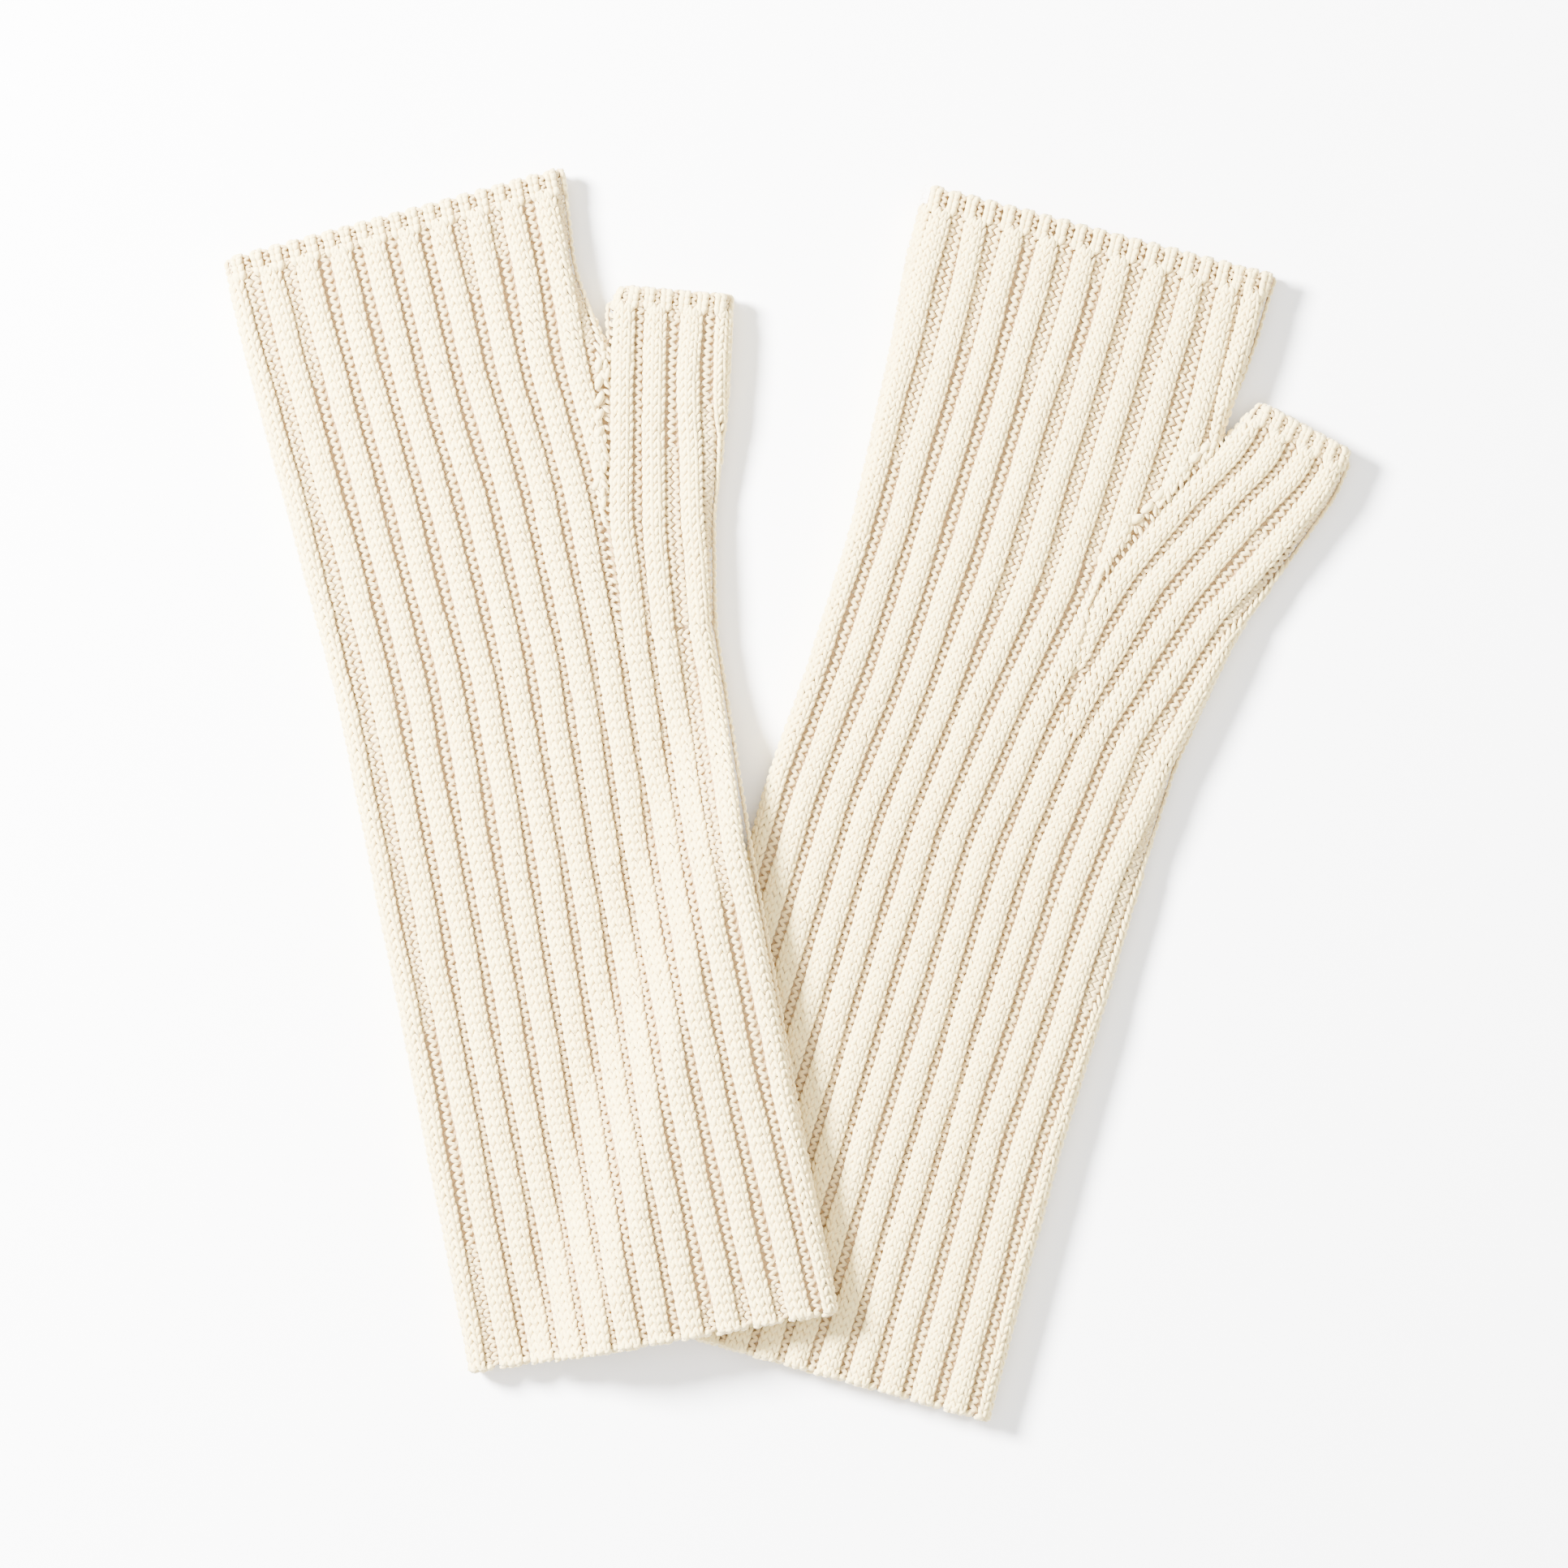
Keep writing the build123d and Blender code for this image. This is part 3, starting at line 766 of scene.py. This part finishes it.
def cast_on_stitches(fabric, face):
    """The rolled edge at the cuff: a plump loop at the foot of each column, and a row beneath."""
    stitches = Stitches()
    start = np.zeros(1)
    for k in range(fabric.ribs):
        middle = fabric.rib(k, start)
        for off in (-WALE, 0.0, WALE, WALE + 2.0):
            a = middle + off
            if not 0.4 < a[0] < fabric.half_round(0.0) - 0.4:
                continue
            lift = rib_profile(np.array([off])) - RIB_HEIGHT / 2
            for s, height, slant, size in CUFF_LOOPS:
                place, across, along, normal = fabric.frame_at(a, np.array([s]), face, lift + height)
                # slight painted shade on the cast-on loops
                stitches.add(place, lean(across, along, slant), normal, size, 0.05, loose=2.5)
    return stitches


print(f"bands: {FINGER_BAND} mm at the fingers, {THUMB_BAND} mm at the thumb, rows of {BAND_ROW} mm")

# %% [markdown]
# Brushed wool is never clean-edged. Loose fibres stand off the surface, most of all along the
# edges, and catch the light. Each is one thin curved hair.

# %% Loose fibres
HAND_FIBRES, THUMB_FIBRES = 3600, 450
EDGE_SHARE, TOP_SHARE = 0.3, 0.8    # shares of the fibres on the edges and on the upper face
HAIR_RADIUS = 0.012


def fuzz_stitches(fabric, low, high, count):
    """Loose hairs between two distances along a fabric."""
    stitches = Stitches()
    s = rng.uniform(low, high, count)
    half = fabric.half_round(s)
    a = np.where(rng.random(count) < EDGE_SHARE, rng.choice([0.02, 0.98], count), rng.random(count)) * half
    on_top = int(count * TOP_SHARE)
    for face, share in ((1, slice(0, on_top)), (-1, slice(on_top, count))):
        place, across, along, normal = fabric.frame_at(a[share], s[share], face, 0.95)
        turn = rng.uniform(0, 2 * np.pi, len(place))[:, None]
        rise = rng.uniform(0.05, 0.55, len(place))[:, None]
        way = across * np.cos(turn) + along * np.sin(turn) + normal * rise
        share_along = np.sum(normal * way, 1, keepdims=True) / np.sum(way * way, 1, keepdims=True)
        outward = normal - way * share_along
        long = rng.uniform(1.2, 3.4, len(place))
        stitches.add(place, way, outward, np.stack([long] * 3, 1), 0.0)
    return stitches


print("loose fibres for both gloves:", 2 * (HAND_FIBRES + THUMB_FIBRES))

# %% [markdown]
# Now the yarn. A Geometry Nodes tree turns each row of the stitch table into a leg of yarn: a
# short cylinder, swollen in the middle, tapered and bent down at both ends so that it tucks under
# its neighbours. Instances on points are right for this, because the shape is the same thousands
# of times and only its place, turn and size change. The tree ends in plain mesh.

# %% The knitting tree
SHAPE_INPUTS = (("Taper", 0.55), ("Tuck", 0.34), ("Radius", 0.5))


def knitting_tree(name, sides, rings):
    """Stitch points in, legs of yarn out."""
    tree = bpy.data.node_groups.new(name, "GeometryNodeTree")
    tree.interface.new_socket("Geometry", in_out="INPUT", socket_type="NodeSocketGeometry")
    for label, value in SHAPE_INPUTS:
        socket = tree.interface.new_socket(label, in_out="INPUT", socket_type="NodeSocketFloat")
        socket.default_value = value
    tree.interface.new_socket("Yarn", in_out="INPUT", socket_type="NodeSocketMaterial")
    tree.interface.new_socket("Geometry", in_out="OUTPUT", socket_type="NodeSocketGeometry")
    start = tree.nodes.new("NodeGroupInput")
    taper, tuck, radius = (out(tree, start, label) for label, _ in SHAPE_INPUTS)
    rod = node(tree, "GeometryNodeMeshCylinder", {"fill_type": "NGON"}, Vertices=sides,
               Side_Segments=rings, Radius=radius, Depth=1.0)
    parts = node(tree, "ShaderNodeSeparateXYZ", Vector=node(tree, "GeometryNodeInputPosition").outputs[0])
    x, y, z = (out(tree, parts, axis) for axis in "XYZ")
    end = (z * 2.0).power(2.0)
    round_off = 1.0 - end * taper
    grain = node(tree, "ShaderNodeCombineXYZ", X=x, Y=z, Z=y * -1.0)
    shape = node(tree, "ShaderNodeCombineXYZ", X=x * round_off, Y=z,
                 Z=y * -1.0 * round_off - end * tuck)
    saved = node(tree, "GeometryNodeStoreNamedAttribute", {"data_type": "FLOAT_VECTOR", "domain": "POINT"},
                 Geometry=rod.outputs["Mesh"], Name="grain", Value=grain.outputs[0])
    leg = node(tree, "GeometryNodeSetPosition", Geometry=saved.outputs[0], Position=shape.outputs[0])
    named = {key: node(tree, "GeometryNodeInputNamedAttribute", {"data_type": "FLOAT_VECTOR"}, Name=key)
             for key in ("along", "outward", "size")}
    up = node(tree, "FunctionNodeAlignRotationToVector", {"axis": "Z"},
              Vector=named["outward"].outputs[0])
    turned = node(tree, "FunctionNodeAlignRotationToVector", {"axis": "Y", "pivot_axis": "Z"},
                  Rotation=up.outputs[0], Vector=named["along"].outputs[0])
    placed = node(tree, "GeometryNodeInstanceOnPoints", Points=out(tree, start, "Geometry"),
                  Instance=leg.outputs[0], Rotation=turned.outputs[0], Scale=named["size"].outputs[0])
    real = node(tree, "GeometryNodeRealizeInstances", Geometry=placed.outputs[0])
    smoothed = node(tree, "GeometryNodeSetShadeSmooth", Geometry=real.outputs[0])
    dressed = node(tree, "GeometryNodeSetMaterial", Geometry=smoothed.outputs[0],
                   Material=out(tree, start, "Yarn"))
    end_node = tree.nodes.new("NodeGroupOutput")
    tree.links.new(dressed.outputs[0], end_node.inputs[0])
    return tree


FINE = knitting_tree("knit_legs_seen", 5, 3)
PLAIN = knitting_tree("knit_legs_underneath", 5, 2)
HAIR = knitting_tree("loose_fibres", 3, 2)
print("trees:", [f"{tree.name} of {len(tree.nodes)} nodes" for tree in (FINE, PLAIN, HAIR)])

# %% [markdown]
# A stitch table becomes a mesh of single points that carry its numbers. The tree reads them, the
# result is kept as plain mesh, and the modifier and the numbers that only placed the yarn go.

# %% From a stitch table to a mesh
POINT_DATA = (("along", "FLOAT_VECTOR"), ("outward", "FLOAT_VECTOR"), ("size", "FLOAT_VECTOR"),
              ("deep", "FLOAT"), ("tint", "FLOAT"))


def socket_id(tree, label):
    """The identifier of a tree's input, by which a modifier knows it."""
    sockets = tree.interface.items_tree
    return next(i.identifier for i in sockets if i.name == label and i.in_out == "INPUT")


def knit(name, stitches, tree, **settings):
    """Turns stitch tables into one plain mesh object, in metres."""
    columns = zip(*(table.columns() for table in stitches))
    place, along, outward, size, deep, tint = [np.concatenate(column) for column in columns]
    points = bpy.data.meshes.new(name + "_points")
    points.from_pydata((place * MM).tolist(), [], [])
    for (key, kind), values in zip(POINT_DATA, (along, outward, size * MM, deep, tint)):
        layer = points.attributes.new(key, kind, "POINT")
        layer.data.foreach_set("vector" if kind == "FLOAT_VECTOR" else "value",
                               np.ascontiguousarray(values, dtype=np.float32).ravel())
    piece = show(name, points)
    modifier = piece.modifiers.new("knit", "NODES")
    modifier.node_group = tree
    modifier[socket_id(tree, "Yarn")] = WOOL
    for label, value in settings.items():
        modifier[socket_id(tree, label)] = value
    graph = bpy.context.evaluated_depsgraph_get()
    made = bpy.data.meshes.new_from_object(piece.evaluated_get(graph), depsgraph=graph)
    piece.modifiers.clear()
    piece.data = made
    made.name = name
    for spare in ("along", "outward", "size"):
        if spare in made.attributes:
            made.attributes.remove(made.attributes[spare])
    triangles = sum(len(p.vertices) - 2 for p in made.polygons)
    print(f"{name}: {len(place)} pieces of yarn, {triangles} triangles")
    return piece


print("each point carries:", [key for key, _ in POINT_DATA])

# %% [markdown]
# Behind the stitches lies a thin ribbed skin. It is the fabric that shows in the gaps and inside
# the openings, and it follows the same ribs. It is one closed shell: outer skin, inner skin and
# a rim at each end.

# %% The skin behind the stitches
SKIN_BELOW = 0.7                # from the foot of the ribs down to the outer skin
SKIN_WALL = 1.3
SKIN_END = 0.4                  # the skin stops this far short of the opening
# painted shade: the skin is seen only down in the gaps and openings, so most of its colour is shade
SKIN_SHADE = 0.8
PER_RIB = 6                     # points of the skin across one rib


def skin_lift(a, middles, inner, sunk):
    """Height of the skin off the fabric's middle: it stands up under each rib."""
    near = np.min(np.abs(a[:, None] - middles[None, :]), axis=1)
    ridge = rib_profile(near * 1.1)
    if inner:
        return -RIB_HEIGHT / 2 - SKIN_BELOW - SKIN_WALL + 0.3 * ridge
    return np.where(sunk > 0, -sunk, ridge) - RIB_HEIGHT / 2 - SKIN_BELOW


def skin(name, fabric, start, band, sunk, step=5.0):
    """sunk(a, s, points) says how far this skin lies under the glove's other one."""
    last = fabric.length - SKIN_END
    levels = np.append(np.arange(start, last, step), last)
    rings = []
    for inner in (False, True):
        for s in levels[::-1] if inner else levels:
            half = float(fabric.half_round(s))
            grooves = np.array([sum(between_ribs(fabric, k, s)) / 2 for k in range(fabric.ribs - 1)])
            middles = np.array([fabric.rib(k, s) for k in range(fabric.ribs)])
            edges = np.concatenate([[0.0], np.clip(grooves, 0.0, half), [half]])
            share = (np.arange(PER_RIB) + 0.5) / PER_RIB
            a = np.concatenate([p + (q - p) * share for p, q in zip(edges, edges[1:])])
            along = np.full_like(a, s)
            low = sunk(a, s, fabric.point(a, along, 1, 0.0))
            if s > fabric.length - band:
                low = np.maximum(low, BAND_SUNK)
            lift = skin_lift(a, middles, inner, low)
            rings.append(np.concatenate([fabric.point(a, along, 1, lift),
                                         fabric.point(a[::-1], along, -1, lift[::-1])]))
    around, count = len(rings[0]), len(rings)
    faces = []
    for ring in range(count):
        after = (ring + 1) % count
        for k in range(around):
            step_on = (k + 1) % around
            faces.append((ring * around + k, ring * around + step_on,
                          after * around + step_on, after * around + k))
    mesh = bpy.data.meshes.new(name)
    mesh.from_pydata((np.concatenate(rings) * MM).tolist(), [], faces)
    # painted shade over the whole skin
    mesh.attributes.new("deep", "FLOAT", "POINT").data.foreach_set(
        "value", np.full(count * around, SKIN_SHADE, np.float32))
    work = bmesh.new()
    work.from_mesh(mesh)
    bmesh.ops.recalc_face_normals(work, faces=work.faces)
    work.to_mesh(mesh)
    work.free()
    mesh.shade_smooth()
    mesh.materials.append(WOOL)
    print(f"{name}: {len(faces)} quads")
    return show(name, mesh)


print(f"skins are {SKIN_WALL} mm thick, their outside {SKIN_BELOW} mm under the ribs' feet")

# %% [markdown]
# Each piece of the hand now rides on its glove's body and hides the plain solids it stands for.
# The thumb's fabric runs across the root, from the arm's stations below to the thumb's above; its
# pieces hide their solids too, but ride on no body.

# %% Knit both gloves
SEAM_INSET = 1.5


def stand_for(name, nodes):
    if nodes:
        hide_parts(*(f"{name}_{n}" for n in nodes))


def on_glove(piece, name, *nodes, slot="wide_rib"):
    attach(piece, f"{name}_glove")
    stand_for(name, nodes)


def on_thumb(piece, name, *nodes, slot="wide_rib"):
    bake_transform(piece)
    stand_for(name, nodes)


for name, glove in MAPS.items():
    hand, thumb = glove.hand, glove.thumb
    cuts = (0.0, 0.34 * glove.arm, 0.68 * glove.arm, glove.arm, glove.hand_crotch, hand.length)
    for label, low, high in zip(("cuff", "forearm", "wrist", "palm", "knuckles"), cuts, cuts[1:]):
        tables = [hand_stitches(glove, 1, low, high)]
        if label == "palm":
            tables += [fashioning_stitches(name, glove, f) for f in (1, -1)]
        on_glove(knit(f"{name}_{label}_front", tables, FINE), name, "front_panel", "gusset_front")
    back_cuts = (("forearm", cuts[0], cuts[2]), ("wrist", cuts[2], cuts[3]), ("hand", cuts[3], cuts[5]))
    for label, low, high in back_cuts:
        below = knit(f"{name}_{label}_back", [hand_stitches(glove, -1, low, high)], PLAIN)
        on_glove(below, name, "back_panel", "gusset_back")
    on_glove(skin(f"{name}_skin", hand, 0.3, FINGER_BAND, glove.under_thumb), name, "outer_fold")
    band = knit(f"{name}_finger_rib", [band_stitches(hand, FINGER_BAND, f) for f in (1, -1)], FINE)
    on_glove(band, name, "finger_band", slot="one_and_one_rib")
    edge = knit(f"{name}_cast_on_loops", [cast_on_stitches(hand, f) for f in (1, -1)], FINE)
    on_glove(edge, name, "cast_on_edge", slot="cast_on")
    seam = knit(f"{name}_seam", [seam_stitches(hand, SEAM_INSET, glove.arm),
                                 seam_stitches(hand, glove.hand_crotch, hand.length - SEAM_INSET)], FINE)
    on_glove(seam, name, "arm_seam_edge", "hand_seam_edge", slot="linked_seam")
    loops = seam_stitches(thumb, glove.root, thumb.length - SEAM_INSET)
    thumb_seam = knit(f"{name}_thumb_seam", [loops], FINE)
    on_thumb(thumb_seam, name, "thumb_seam_edge", slot="linked_seam")
    tube = knit(f"{name}_thumb_fabric", [thumb_stitches(glove, 1), thumb_stitches(glove, -1)], FINE)
    on_thumb(tube, name, "thumb_tube")
    shell = skin(f"{name}_thumb_skin", thumb, glove.root, THUMB_BAND, glove.under_hand, step=4.0)
    on_thumb(shell, name, "thumb_tube")
    thumb_band = knit(f"{name}_thumb_rib", [band_stitches(thumb, THUMB_BAND, f) for f in (1, -1)], FINE)
    on_thumb(thumb_band, name, "thumb_band", slot="one_and_one_rib")
    hairs = fuzz_stitches(hand, 0.0, hand.length, HAND_FIBRES)
    on_glove(knit(f"{name}_loose_fibres", [hairs], HAIR, Radius=HAIR_RADIUS), name)
    hairs = fuzz_stitches(thumb, glove.root + 20, thumb.length, THUMB_FIBRES)
    on_thumb(knit(f"{name}_thumb_fibres", [hairs], HAIR, Radius=HAIR_RADIUS), name)

# %% [markdown]
# The floor is a plain pale table. It lies a hair below the CAD's lowest point, because the
# lowest stitches bulge a little past the plain solids.

# %% Floor
TABLE_HALF, TABLE_TOP = 3.0, -0.0007
table_mesh = bpy.data.meshes.new("table")
table_mesh.from_pydata([(x * TABLE_HALF, y * TABLE_HALF, TABLE_TOP)
                        for x, y in ((-1, -1), (1, -1), (1, 1), (-1, 1))], [], [(0, 1, 2, 3)])
paint = bpy.data.materials.new("pale_table")
paint.use_nodes = True
coat = paint.node_tree.nodes["Principled BSDF"]
coat.inputs["Base Color"].default_value = (0.97, 0.97, 0.97, 1)
coat.inputs["Roughness"].default_value = 0.9
table_mesh.materials.append(paint)
table = show("table", table_mesh)
print("table top at", TABLE_TOP, "m")
